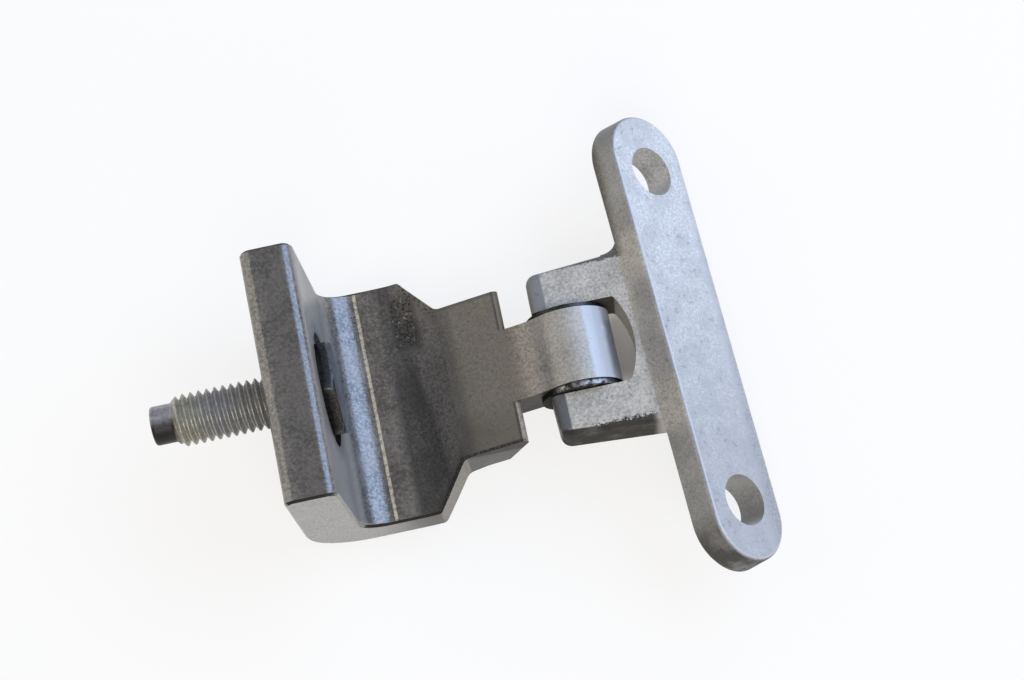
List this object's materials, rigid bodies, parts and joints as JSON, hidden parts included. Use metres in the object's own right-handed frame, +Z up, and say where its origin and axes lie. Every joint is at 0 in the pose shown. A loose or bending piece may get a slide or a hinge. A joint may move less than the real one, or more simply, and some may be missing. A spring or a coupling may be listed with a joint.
{
  "type": "trunk lid hinge",
  "caption": "Car trunk lid hinge: a grooved leaf with a threaded stud, joined by a bushed knuckle and pin to a clevis on a slanted rounded bar with bolt holes.",
  "frame": {"origin": "where the stud's axis meets the seat face of the stud leaf", "axes": "+X from the seat towards the hinge pin and the bar, +Y along the hinge pin, +Z up; the stud points to -X"},
  "size_m": [0.0905, 0.0744, 0.0352],
  "materials": {
    "leaf_steel": "satin",
    "zinc_cast": "cast, zinc plated",
    "stud_steel": "zinc plated, dirty",
    "pin_steel": "satin",
    "bush_steel": "dark satin"
  },
  "bodies": {
    "frame_side": {"stud_leaf": "leaf_steel", "clamp_stud": "stud_steel", "bush_left": "bush_steel", "bush_right": "bush_steel"},
    "lid_side": {"plate_leaf": "zinc_cast", "hinge_pin": "pin_steel"}
  },
  "joints": [
    {"name": "lid_turn", "type": "hinge", "parent": "frame_side", "child": "lid_side", "pos_m": [0.0461, 0, -0.0099], "axis": [0, 1, 0], "range_deg": [-132, 120]}
  ]
}
